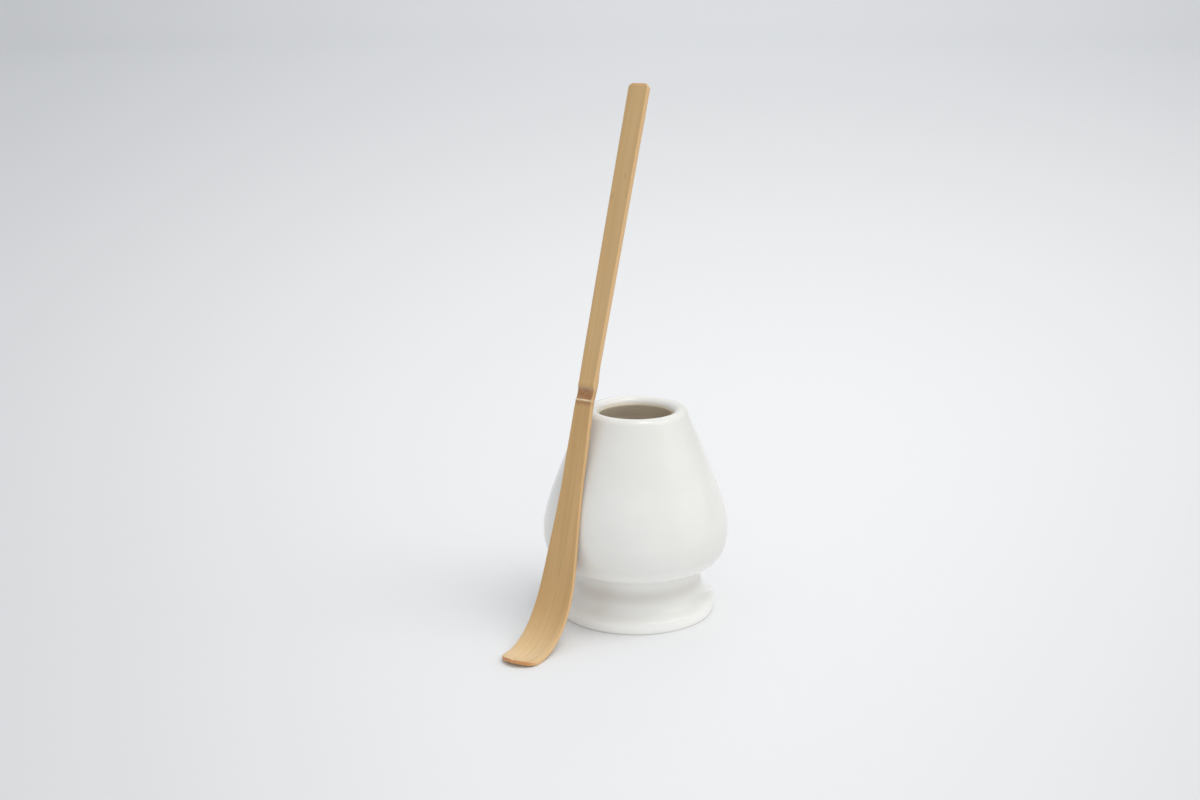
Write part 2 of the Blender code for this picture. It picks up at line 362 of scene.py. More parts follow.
def add_bump(board, shader, height, distance, strength):
    """A height in 0 to 1 as a bump of that depth in metres."""
    made = board.add("ShaderNodeBump")
    made.inputs["Strength"].default_value = strength
    made.inputs["Distance"].default_value = distance
    board.join(height, made.inputs["Height"])
    board.join(made.outputs["Normal"], shader.inputs["Normal"])


# ---- ceramic finishes

# Pattern scales are in waves to the metre.
MOTTLE_SCALE, DRIFT_SCALE, WEAR_SCALE = 55.0, (14.0, 14.0, 40.0), 260.0
PEEL_SCALE, SLOW_SCALE, PEEL_DEPTH = 700.0, 110.0, 0.00001
RAGGED_SCALE, SPECK_SCALE, RARE_SCALE = 900.0, 120.0, 37.0
# The middle tint is painted shade for the crease between the waist and the foot.
DRIFT_TINT, CREASE_SHADE_TINT, SPECK_TINT = (0.80, 0.79, 0.74), (0.655, 0.625, 0.575), (0.30, 0.22, 0.15)
CLAY_GRAIN_SCALE, CLAY_PATCH_SCALE, CLAY_DEPTH = 2600.0, 90.0, 0.00003
GLAZE_IOR = 1.52


def glaze_material(settings):
    """Glossy white glaze: painted shade in the crease above the foot, painted light on the band
    under the belly and on the foot, thin on the edges, with fired-in specks.
    """
    made, board, shader = new_material("white_glaze")
    place = board.add("ShaderNodeTexCoord").outputs["Object"]
    centred = board.stretched(place, (1.0, 1.0, 1.0), tuple(-HOLDER_AXIS))
    mottle = board.noise(centred, MOTTLE_SCALE, 4.0, 0.6)
    white = tuple(settings.glaze)
    body = board.blend(board.spread(mottle, 0.35, 0.65, 0.0, 1.0), dimmed(white, 0.965), white)
    drift = board.noise(board.stretched(centred, DRIFT_SCALE), 1.0)
    body = board.blend(board.spread(drift, 0.42, 0.62, 0.0, 0.22), body, DRIFT_TINT, "MULTIPLY")
    thin = board.attribute("thin_glaze")
    ragged = board.maths("MULTIPLY_ADD", board.noise(centred, RAGGED_SCALE, 3.0), 0.5, -0.25)
    thin = board.spread(board.maths("ADD", thin, ragged), 0.25, 1.0, 0.0, 1.0)
    body = board.blend(thin, body, tuple(settings.glaze_thin))
    # Painted shade: a grey-brown darkening in the crease between the waist and the foot.
    crease_shading = board.attribute("pooled_glaze")
    body = board.blend(board.maths("MULTIPLY", crease_shading, 0.8), body, CREASE_SHADE_TINT)
    # Painted light: the band under the belly and the foot are made lighter.
    body = board.blend(board.attribute("thick_glaze"), body, tuple(settings.glaze_painted_light))
    speck = board.spread(board.cells(centred, SPECK_SCALE), 0.02, 0.045, 1.0, 0.0)
    rare = board.spread(board.noise(centred, RARE_SCALE), 0.60, 0.64, 0.0, 1.0)
    speck = board.maths("MULTIPLY", speck, rare)
    body = board.blend(board.maths("MULTIPLY", speck, 0.55), body, SPECK_TINT)
    board.join(body, shader.inputs["Base Color"])
    wear = board.noise(centred, WEAR_SCALE, 3.0)
    low = settings.roughness * 0.8
    high = settings.roughness * 1.5
    board.join(board.spread(wear, 0.3, 0.7, low, high), shader.inputs["Roughness"])
    shader.inputs["IOR"].default_value = GLAZE_IOR
    peel = board.noise(centred, PEEL_SCALE, 1.0)
    slow = board.noise(centred, SLOW_SCALE, 1.0)
    height = board.maths("MULTIPLY_ADD", slow, 3.0, peel)
    add_bump(board, shader, height, PEEL_DEPTH, 0.6)
    return made


def clay_material(settings):
    """Bare fired clay: matt, fine-grained, warmer in patches."""
    made, board, shader = new_material("bare_clay")
    place = board.add("ShaderNodeTexCoord").outputs["Object"]
    grain = board.noise(place, CLAY_GRAIN_SCALE, 3.0, 0.7)
    patches = board.noise(place, CLAY_PATCH_SCALE, 3.0)
    clay = tuple(settings.clay)
    body = board.blend(board.spread(patches, 0.35, 0.65, 0.0, 1.0), dimmed(clay, 0.88), clay)
    body = board.blend(board.spread(grain, 0.55, 0.75, 0.0, 0.35), body, dimmed(clay, 0.6))
    board.join(body, shader.inputs["Base Color"])
    board.join(board.spread(grain, 0.3, 0.7, 0.62, 0.8), shader.inputs["Roughness"])
    add_bump(board, shader, grain, CLAY_DEPTH, 0.8)
    return made


# ---- the holder

OUTLINE_STEPS = 56
TURN_STEPS = 224
EDGE_STEPS, FILLET_STEPS = 12, 8
# How far each curve of the outline keeps its end's direction, in metres.
SHOULDER_PULL = 0.01105
BELLY_PULL_UP, BELLY_PULL_DOWN = 0.0075, 0.0137
WAIST_PULL_UP, WAIST_PULL_DOWN = 0.0037, 0.0085
FOOT_PULL_UP, FOOT_PULL_DOWN, RING_PULL_OUT = 0.0006, 0.0020, 0.0005
# The same for the hollow's floor, as parts of the curve's own size.
FLOOR_PULL_OUT, FLOOR_PULL_UP = 0.75, 0.35
LIP_BLEND_SLOPE = 0.5
# Where the glaze thins, where shade is painted into the crease and where light is painted on the
# band and the foot: places above the foot and widths, in metres.
THIN_LIP, THIN_FOOT, FOOT_SKIN = 0.0006, 0.0008, 0.0002
# Painted shade in the crease above the foot.
CREASE_SHADE_DROP, CREASE_SHADE_WIDTH = 0.0034, 0.0030
# Painted light: the lighter band under the belly and the lighter foot.
LIGHT_BAND_RISE, LIGHT_BAND_WIDTH = 0.0026, 0.0048
LIGHT_FOOT_HEIGHT, LIGHT_FOOT_FADE = 0.0052, 0.0030
# The turned body's small unevenness, weld and finish limits.
UNEVENNESS, UNEVEN_WAVES, UNEVEN_STRETCH = 0.00004, 1.3, 30.0
WELD_DISTANCE, SHARP_ANGLE, BARE_LIMIT = 0.000002, 40, 0.75
BODY_RADIUS = 0.0275
SURFACE_MARKS = ("bare", "thin_glaze", "pooled_glaze", "thick_glaze")


def outside_curve(settings):
    """The outline from the lip's end to the foot's widest line."""
    slope = settings.shoulder_slope
    centre = Vector(
        (settings.mouth_radius + settings.lip_round, settings.height - settings.lip_round)
    )
    lip = arc(centre, settings.lip_round, math.pi, math.pi / 2 - slope, OUTLINE_STEPS // 2)
    shoulder = lip[-1]
    away = Vector((math.cos(slope), -math.sin(slope)))
    belly = Vector((settings.belly_radius, settings.belly_height))
    waist = Vector((settings.waist_radius, settings.waist_height))
    foot = Vector((settings.foot_radius, settings.foot_height))
    up = Vector((0.0, 1.0))
    body = []
    for first, leaving, arriving, last, count in (
        (shoulder, away * SHOULDER_PULL, up * BELLY_PULL_UP, belly, OUTLINE_STEPS),
        (belly, up * -BELLY_PULL_DOWN, up * WAIST_PULL_UP, waist, OUTLINE_STEPS),
        (waist, up * -WAIST_PULL_DOWN, up * FOOT_PULL_UP, foot, OUTLINE_STEPS // 2),
    ):
        body += cubic(first, first + leaving, last + arriving, last, count)
    return lip, body


def inside_curve(settings, shoulder, body):
    """The hollow from the middle of its floor to the mouth, one wall inside the outside."""
    floor = settings.recess + settings.floor
    outside = [shoulder] + body
    inside = []
    for index in range(1, len(outside) - 1):
        along = (outside[index + 1] - outside[index - 1]).normalized()
        point = outside[index] + Vector((along.y, -along.x)) * settings.wall
        from_mouth = point.x - settings.mouth_radius
        under_mouth = settings.height - 2 * settings.lip_round - from_mouth * LIP_BLEND_SLOPE
        if settings.waist_height < point.y < under_mouth and from_mouth > 0:
            inside.append(point)
    inside.reverse()
    first = inside[0]
    middle = Vector((0.0, floor))
    curve = cubic(
        middle,
        Vector((first.x * FLOOR_PULL_OUT, floor)),
        Vector((first.x, floor + (first.y - floor) * FLOOR_PULL_UP)),
        first,
        OUTLINE_STEPS // 2,
    )
    return [middle] + curve + inside[1:]


def foot_curve(settings):
    """The foot's rounded edge, its flat ring and the recess."""
    ring_inside = settings.foot_contact - settings.ring_width
    fillet = settings.recess_fillet
    corner = Vector((ring_inside - fillet, settings.recess - fillet))
    edge = cubic(
        Vector((settings.foot_radius, settings.foot_height)),
        Vector((settings.foot_radius, settings.foot_height - FOOT_PULL_DOWN)),
        Vector((settings.foot_contact + RING_PULL_OUT, 0.0)),
        Vector((settings.foot_contact, 0.0)),
        EDGE_STEPS,
    )
    ring = [
        Vector((settings.foot_contact - settings.ring_width * part, 0.0))
        for part in (0.08, 0.5, 0.92, 1.0)
    ]
    dish = [Vector((corner.x * part, settings.recess)) for part in (0.66, 0.33, 0.0)]
    return edge + ring + arc(corner, fillet, 0.0, math.pi / 2, FILLET_STEPS) + dish


def holder_outline(settings):
    """The whole outline with what each point wears: bare clay, thin glaze, painted crease shade
    and painted light.
    """
    lip, body = outside_curve(settings)
    inside = inside_curve(settings, lip[-1], body)
    foot = foot_curve(settings)
    glaze_end = settings.height - settings.glaze_end
    throat = inside[-1]
    inside += [throat + (lip[0] - throat) * part for part in (0.25, 0.5, 0.75)]
    rows = [(point, 1.0, 0.0, 0.0, 0.0) for point in inside]
    for point in lip:
        inner = point.x < settings.mouth_radius + settings.lip_round
        bare = 1.0 if inner and point.y < glaze_end else 0.0
        thin = ease(1.0 - (point.y - glaze_end) / THIN_LIP) if inner else 0.0
        rows.append((point, bare, thin, 0.0, 0.0))
    for point in body:
        # Painted shade in the crease between the waist and the foot.
        crease_shade_amount = bump_at(point.y, settings.waist_height - CREASE_SHADE_DROP, CREASE_SHADE_WIDTH)
        # Painted light on the band under the belly and on the foot.
        thick = bump_at(point.y, settings.waist_height + LIGHT_BAND_RISE, LIGHT_BAND_WIDTH)
        thick = max(thick, ease((LIGHT_FOOT_HEIGHT - point.y) / LIGHT_FOOT_FADE))
        rows.append((point, 0.0, 0.0, crease_shade_amount, thick))
    for point in foot:
        under = point.y < FOOT_SKIN or point.x < settings.foot_contact - FOOT_SKIN / 2
        thin = ease(1.0 - (point.y - FOOT_SKIN) / THIN_FOOT)
        # The whole foot takes the painted light in full.
        rows.append((point, 1.0 if under else 0.0, thin, 0.0, 1.0))
    return rows


def outline_mesh(rows):
    """The outline as a line of points in X and Z, each with its finish, painted shade and painted
    light.
    """
    mesh = bpy.data.meshes.new("holder_outline")
    points = [(row[0].x, 0.0, row[0].y) for row in rows]
    mesh.from_pydata(points, [(index, index + 1) for index in range(len(points) - 1)], [])
    for column, name in enumerate(SURFACE_MARKS, 1):
        layer = mesh.attributes.new(name, "FLOAT", "POINT")
        layer.data.foreach_set("value", [row[column] for row in rows])
    return mesh


def tree_sockets(tree):
    """The turned body's named inputs and its output."""
    for name, kind, default in (
        ("Outline", "NodeSocketGeometry", None),
        ("Steps Around", "NodeSocketInt", TURN_STEPS),
        ("Unevenness", "NodeSocketFloat", UNEVENNESS),
        ("Pattern Seed", "NodeSocketFloat", 7.0),
        ("Weld Distance", "NodeSocketFloat", WELD_DISTANCE),
        ("Sharp Angle", "NodeSocketFloat", math.radians(SHARP_ANGLE)),
        ("Finish", "NodeSocketMaterial", None),
        ("Bare Finish", "NodeSocketMaterial", None),
    ):
        made = tree.interface.new_socket(name, in_out="INPUT", socket_type=kind)
        if default is not None:
            made.default_value = default
    tree.interface.new_socket("Body", in_out="OUTPUT", socket_type="NodeSocketGeometry")


def sampled(board, outline, value, row, kind):
    """A value of the outline's point that makes a row."""
    made = board.add("GeometryNodeSampleIndex", data_type=kind, domain="POINT")
    board.join(outline, made.inputs[0])
    board.join(value, made.inputs["Value"])
    board.join(row, made.inputs["Index"])
    return made.outputs[0]


def named_value(board, name):
    """A named attribute inside a geometry tree."""
    made = board.add("GeometryNodeInputNamedAttribute", data_type="FLOAT")
    made.inputs["Name"].default_value = name
    return made.outputs[0]


def greater(board, value, limit):
    """Whether a value is above a limit."""
    made = board.add("FunctionNodeCompare", data_type="FLOAT", operation="GREATER_THAN")
    board.join(value, made.inputs[0])
    board.join(limit, made.inputs[1])
    return made.outputs[0]


def turned_place(board, given, place, angle):
    """Where an outline point goes at an angle round Z, pulled in a little by slow noise."""
    parts = board.parts(place)
    cosine = board.maths("COSINE", angle)
    sine = board.maths("SINE", angle)
    wave = board.add("ShaderNodeTexNoise", noise_dimensions="4D")
    stretched = board.maths("MULTIPLY", parts["Z"], UNEVEN_STRETCH)
    board.join(board.vector(cosine, sine, stretched), wave.inputs["Vector"])
    board.join(given["Pattern Seed"], wave.inputs["W"])
    wave.inputs["Scale"].default_value = UNEVEN_WAVES
    wave.inputs["Detail"].default_value = 1.0
    dent = board.maths("MULTIPLY", wave.outputs["Fac"], given["Unevenness"])
    kept = board.maths("SUBTRACT", 1.0, board.maths("DIVIDE", dent, BODY_RADIUS))
    radius = board.maths("MULTIPLY", parts["X"], kept)
    x, y = board.maths("MULTIPLY", radius, cosine), board.maths("MULTIPLY", radius, sine)
    return board.vector(x, y, parts["Z"])


def turned_tree(names):
    """A node tree that turns an outline round Z and carries its named attributes along."""
    tree = bpy.data.node_groups.new("turned_body", "GeometryNodeTree")
    tree_sockets(tree)
    board = Board(tree)
    given = board.add("NodeGroupInput").outputs
    outline, around = given["Outline"], given["Steps Around"]
    size = board.add("GeometryNodeAttributeDomainSize", component="MESH")
    board.join(outline, size.inputs[0])
    rows = size.outputs["Point Count"]
    grid = board.add("GeometryNodeMeshGrid")
    board.join(board.maths("ADD", around, 1.0), grid.inputs["Vertices X"])
    board.join(rows, grid.inputs["Vertices Y"])
    index = board.add("GeometryNodeInputIndex").outputs[0]
    row = board.maths("FLOORED_MODULO", index, rows)
    column = board.maths("FLOOR", board.maths("DIVIDE", board.maths("ADD", index, 0.5), rows))
    angle = board.maths("DIVIDE", board.maths("MULTIPLY", column, 2 * math.pi), around)
    here = board.add("GeometryNodeInputPosition").outputs[0]
    place = sampled(board, outline, here, row, "FLOAT_VECTOR")
    spot = turned_place(board, given, place, angle)
    body = board.step("GeometryNodeSetPosition", grid.outputs["Mesh"], {"Position": spot})
    body = board.step(
        "GeometryNodeStoreNamedAttribute",
        body,
        {"Name": "UVMap", "Value": grid.outputs["UV Map"]},
        data_type="FLOAT2",
        domain="CORNER",
    )
    for name in names:
        worn = sampled(board, outline, named_value(board, name), row, "FLOAT")
        body = board.step(
            "GeometryNodeStoreNamedAttribute",
            body,
            {"Name": name, "Value": worn},
            data_type="FLOAT",
            domain="POINT",
        )
    body = board.step("GeometryNodeFlipFaces", body, {})
    weld = {"Distance": given["Weld Distance"]}
    body = board.step("GeometryNodeMergeByDistance", body, weld)
    bend = board.add("GeometryNodeInputMeshEdgeAngle").outputs["Unsigned Angle"]
    crease = {"Selection": greater(board, bend, given["Sharp Angle"]), "Shade Smooth": False}
    body = board.step("GeometryNodeSetShadeSmooth", body, crease, domain="EDGE")
    body = board.step("GeometryNodeRealizeInstances", body, {})
    body = board.step("GeometryNodeSetMaterial", body, {"Material": given["Finish"]})
    bare = greater(board, named_value(board, "bare"), BARE_LIMIT)
    clay = {"Selection": bare, "Material": given["Bare Finish"]}
    body = board.step("GeometryNodeSetMaterial", body, clay)
    board.join(body, board.add("NodeGroupOutput").inputs[0])
    return tree


def set_inputs(modifier, values):
    """Sets a node modifier's inputs by the names that its tree shows."""
    for item in modifier.node_group.interface.items_tree:
        if item.item_type == "SOCKET" and item.in_out == "INPUT" and item.name in values:
            modifier[item.identifier] = values[item.name]


def plain_copy(source, name):
    """The evaluated object as a plain mesh object; the source is removed."""
    graph = bpy.context.evaluated_depsgraph_get()
    mesh = bpy.data.meshes.new_from_object(
        source.evaluated_get(graph), preserve_all_data_layers=True, depsgraph=graph
    )
    mesh.name = name
    outline = source.data
    bpy.data.objects.remove(source)
    bpy.data.meshes.remove(outline)
    return new_object(name, mesh)


class OBJECT_OT_tea_holder_add(bpy.types.Operator):
    """Add the glazed ceramic holder for a tea whisk"""

    bl_idname = "object.tea_holder_add"
    bl_label = "Whisk Holder"
    bl_options = {"REGISTER", "UNDO"}

    def execute(self, context):
        settings = context.scene.tea_holder
        source = new_object("holder_outline", outline_mesh(holder_outline(settings)))
        modifier = source.modifiers.new("Turned Body", "NODES")
        modifier.node_group = turned_tree(SURFACE_MARKS)
        set_inputs(
            modifier,
            {
                "Steps Around": TURN_STEPS,
                "Finish": glaze_material(settings),
                "Bare Finish": clay_material(settings),
            },
        )
        holder = plain_copy(source, "ceramic_holder")
        if len(holder.data.polygons) < TURN_STEPS * OUTLINE_STEPS:
            raise RuntimeError("the holder's node tree made too few faces")
        holder.data.transform(Matrix.Translation(HOLDER_AXIS))
        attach(holder, "holder")
        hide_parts("whisk_holder")
        return {"FINISHED"}


# ---- bamboo

# Waves to the metre across, along and through the strip.
FINE_GRAIN, STREAK_GRAIN = (5200.0, 70.0, 5200.0), (1300.0, 16.0, 1300.0)
BROAD_GRAIN, NODE_GRAIN = (240.0, 26.0, 240.0), (1500.0, 900.0, 1500.0)
BUNDLE_GRAIN, SPOT_GRAIN = (2600.0, 30.0, 2600.0), (420.0, 130.0, 420.0)
STREAK_TINT, BROAD_TINT, STAIN_TINT = (0.26, 0.16, 0.07), (0.70, 0.50, 0.27), (0.36, 0.235, 0.165)
# The groove's tint is painted shade along the central groove.
SPOT_TINT, GROOVE_SHADE_TINT = (0.30, 0.19, 0.10), (0.30, 0.17, 0.07)
GROOVE_ACROSS, GROOVE_WIDTH = 0.0002, 0.00045
GROOVE_FADES = ((0.035, 0.055, 0.0, 1.0), (0.080, 0.087, 1.0, 0.0))
GRAIN_DEPTH, BAMBOO_IOR = 0.00003, 1.45
# How many points and rows the strip has, and how far the dense rows reach past its node.
FACE_POINTS, BACK_POINTS = 19, 9
HANDLE_STEPS, NODE_STEPS, BLADE_STEPS, BEND_STEPS = 64, 90, 150, 4
END_PARTS, NODE_REACH, BLADE_CROWDING = (0.0, 0.12, 0.3, 0.5, 0.7, 0.85, 1.0), 0.003, 1.6
# Powers of the strip's tapers, slopes at its ends, and depths of what is carved in its face.
HANDLE_TAPER, NECK_TAPER, END_SLOPE, END_THINNING, TOE_LEAST = 0.7, 1.4, 1.7, 1.6, 0.16
HOLLOW_DEPTH, RIDGE_HEIGHT, DISH_DEPTH, FACET_DEPTH = 0.00042, 0.00010, 0.00030, 0.00002
DISH_LENGTH, SWELL_LENGTH, TOE_BAND, END_BAND = 0.02, 0.0033, 0.0004, 0.0003


def bamboo_material(settings):
    """Carved bamboo: long fibres, dark bundles, a brown node, paler sides and end grain, painted
    shade in the central groove and a paler bowl that is partly painted light.
    """
    made, board, shader = new_material("carved_bamboo")
    grain = board.attribute("grain", "Vector")
    parts = board.parts(grain)
    station = parts["Y"]
    fine = board.noise(board.stretched(grain, FINE_GRAIN), 1.0, 3.0, 0.6)
    streak = board.noise(board.stretched(grain, STREAK_GRAIN), 1.0, 3.0, 0.55)
    broad = board.noise(board.stretched(grain, BROAD_GRAIN), 1.0)
    face = tuple(settings.skin)
    curl = settings.blade_length - settings.curl_start
    below = board.spread(station, -0.001, 0.006, 0.0, 1.0, True)
    along = board.blend(below, face, tuple(settings.blade))
    bowl_start = settings.curl_start + curl * 0.35
    bowl_end = settings.curl_start + curl * 0.9
    in_bowl = board.spread(station, bowl_start, bowl_end, 0.0, 1.0, True)
    # The paler bowl colour is partly painted light and sheen on the upturned bowl.
    along = board.blend(in_bowl, along, tuple(settings.bowl))
    colours = board.blend(board.spread(streak, 0.32, 0.70, 0.22, 0.0), along, STREAK_TINT)
    colours = board.blend(board.spread(broad, 0.40, 0.70, 0.0, 0.22), colours, BROAD_TINT)
    dark = board.spread(fine, 0.60, 0.78, 0.0, 0.34)
    colours = board.blend(dark, colours, dimmed(face, 0.55))
    side = board.attribute("cut_side")
    side = board.maths("MULTIPLY", side, board.spread(fine, 0.3, 0.7, 1.0, 0.75))
    colours = board.blend(side, colours, tuple(settings.side))
    node = board.attribute("node_band")
    rough_node = board.noise(board.stretched(grain, NODE_GRAIN), 1.0, 4.0, 0.7)
    brown = board.maths("MULTIPLY", node, board.spread(rough_node, 0.25, 0.6, 0.55, 1.0))
    bruise = board.spread(station, 0.0010, 0.0024, 1.0, 0.0, True)
    node_brown = board.blend(bruise, tuple(settings.node_colour), STAIN_TINT)
    colours = board.blend(brown, colours, node_brown)
    colours = board.blend(board.attribute("node_ridge"), colours, tuple(settings.ridge_colour))
    ends = board.attribute("end_grain")
    bundles = board.cells(board.stretched(grain, BUNDLE_GRAIN), 1.0)
    ends = board.maths("MULTIPLY", ends, board.spread(bundles, 0.15, 0.4, 0.6, 1.0))
    colours = board.blend(ends, colours, tuple(settings.end_colour))
    spots = board.noise(board.stretched(grain, SPOT_GRAIN, (3.0, 1.7, 0.0)), 1.0)
    colours = board.blend(board.spread(spots, 0.70, 0.80, 0.0, 0.35), colours, SPOT_TINT)
    middle = board.maths("ABSOLUTE", board.maths("SUBTRACT", parts["X"], GROOVE_ACROSS))
    groove = board.spread(middle, 0.0, GROOVE_WIDTH, 1.0, 0.0, True)
    for fade in GROOVE_FADES:
        groove = board.maths("MULTIPLY", groove, board.spread(station, *fade, True))
    # Painted shade: the central groove is darkened along its length.
    colours = board.blend(board.maths("MULTIPLY", groove, 0.22), colours, GROOVE_SHADE_TINT)
    board.join(colours, shader.inputs["Base Color"])
    polish = board.spread(station, bowl_start, bowl_end, 0.0, -0.10)
    rough = board.spread(streak, 0.3, 0.7, settings.roughness * 0.85, settings.roughness * 1.2)
    board.join(board.maths("ADD", rough, polish), shader.inputs["Roughness"])
    shader.inputs["IOR"].default_value = BAMBOO_IOR
    height = board.maths("MULTIPLY_ADD", streak, 0.6, fine)
    height = board.maths("MULTIPLY_ADD", groove, -1.2, height)
    add_bump(board, shader, height, GRAIN_DEPTH, 0.9)
    return made


def strip_bend(s, station):
    """The blade's turn away from the handle's direction, at a distance below the node."""
    settle = s.back_set * ease(station / s.back_set_length)
    part = max(0.0, (station - s.curl_start) / (s.blade_length - s.curl_start))
    return -settle + (s.toe_curl + s.back_set) * part**s.curl_power


def strip_width(s, station):
    """The strip's width, its toe and handle end included."""
    if station < 0:
        part = -station / s.handle_length
        width = s.node_width + (s.handle_width - s.node_width) * part**HANDLE_TAPER
        to_end = s.handle_length + station
        if to_end < s.end_cut:
            width -= END_SLOPE * (s.end_cut - to_end)
        return width
    if station < s.neck_station:
        part = station / s.neck_station
        return s.node_width + (s.neck_width - s.node_width) * part**NECK_TAPER
    part = ease((station - s.neck_station) / (s.bowl_station - s.neck_station))
    width = s.neck_width + (s.bowl_width - s.neck_width) * part
    to_end = s.blade_length - station
    if to_end < s.toe_round:
        roundness = math.sqrt(max(0.0, 1.0 - (1.0 - to_end / s.toe_round) ** 2))
        width *= max(TOE_LEAST, roundness)
    return width


def strip_thickness(s, station):
    """The strip's thickness without the node."""
    if station < 0:
        softened = max(0.0, s.edge_round * 2 - s.handle_length - station)
        return s.handle_thickness - END_THINNING * softened
    thinned = ease(station / s.thin_length)
    thickness = s.handle_thickness + (s.blade_thickness - s.handle_thickness) * thinned
    toe = ease((station - s.curl_start) / (s.blade_length - s.curl_start))
    return thickness + (s.toe_thickness - s.blade_thickness) * toe


def face_relief(s, station, across, half):
    """How far the carved face stands out of its flat: node hollow, ridge, bowl, knife facets."""
    out = 0.0
    wobble = 0.00022 * math.sin(across * 1900.0 + 0.6) + 0.0001 * math.sin(across * 5200.0)
    at = station - wobble
    ridge = s.node_length
    if -0.0015 < at < ridge + 0.003:
        out += RIDGE_HEIGHT * bump_at(at, 0.0001, 0.0014)
        out -= HOLLOW_DEPTH * ease((at - 0.0004) / 0.0016) * ease((ridge - at) / 0.0010)
        out += RIDGE_HEIGHT * bump_at(at, ridge, 0.00034)
        out -= RIDGE_HEIGHT * bump_at(at, ridge + 0.0008, 0.0009)
    if station > s.curl_start:
        dish = ease((station - s.curl_start) / DISH_LENGTH)
        out += DISH_DEPTH * dish * ((across / half) ** 2 - 1.0)
    facet = math.sin(station * 310.0 + 1.3) * math.sin(station * 83.0)
    return out + FACET_DEPTH * facet


def node_swell(s, station):
    """How far the node stands out behind."""
    return s.node_bulge * math.exp(-((station / SWELL_LENGTH) ** 2))


def corner_points(across, out, radius, angles):
    """Points of a rounded corner of the strip's section."""
    turns = [math.radians(angle) for angle in angles]
    return [
        (across + radius * math.cos(turn), out + radius * math.sin(turn), 1.0) for turn in turns
    ]


def ring_outline(s, station):
    """One section: (across, outward, cut side) round the strip, from the face's left edge."""
    half = strip_width(s, station) / 2
    thick = strip_thickness(s, station)
    front = thick / 2
    back = thick / 2 + node_swell(s, station)
    cut = min(s.edge_round, half * 0.45, thick * 0.3)
    flat, low = half - cut, -back + cut
    ring = []
    for index in range(FACE_POINTS):
        across = -flat + (2 * half - 2 * cut) * index / (FACE_POINTS - 1)
        ring.append((across, front + face_relief(s, station, across, half), 0.0))
    right = front + face_relief(s, station, flat, half)
    left = front + face_relief(s, station, -flat, half)
    ring += corner_points(flat, right - cut, cut, (60, 30, 0))
    ring.append((half, (right - back) / 2, 1.0))
    ring += corner_points(flat, low, cut, (0, -45))
    for index in range(BACK_POINTS):
        across = flat - (2 * half - 2 * cut) * index / (BACK_POINTS - 1)
        ring.append((across, -back, 0.0))
    ring += corner_points(-flat, low, cut, (-135, 180))
    ring.append((-half, (left - back) / 2, 1.0))
    return ring + corner_points(-flat, left - cut, cut, (180, 150, 120))


def even_steps(first, last, count):
    """Places from after the first to the last, evenly apart."""
    return [first + (last - first) * index / count for index in range(1, count + 1)]


def strip_stations(s):
    """Distances along the strip: close at both ends and dense through the node."""
    handle = [-s.handle_length + s.end_cut * part for part in END_PARTS]
    last = s.node_length + NODE_REACH
    handle += even_steps(handle[-1], -NODE_REACH, HANDLE_STEPS)
    node = even_steps(-NODE_REACH, last, NODE_STEPS)
    blade = []
    for index in range(1, BLADE_STEPS + 1):
        part = 1.0 - (1.0 - index / BLADE_STEPS) ** BLADE_CROWDING
        blade.append(last + (s.blade_length - last) * part)
    return handle + node + blade


def strip_centres(s, stations):
    """The strip's middle line and its bend at each station."""
    centre = Vector((0.0, 0.0, 0.0))
    last = 0.0
    line = []
    for station in stations:
        if station <= 0:
            line.append((Vector((0.0, 0.0, -station)), 0.0))
            continue
        for index in range(BEND_STEPS):
            bend = strip_bend(s, last + (station - last) * (index + 0.5) / BEND_STEPS)
            way = Vector((0.0, -math.sin(bend), -math.cos(bend)))
            centre = centre + way * (station - last) / BEND_STEPS
        last = station
        line.append((centre.copy(), strip_bend(s, station)))
    return line


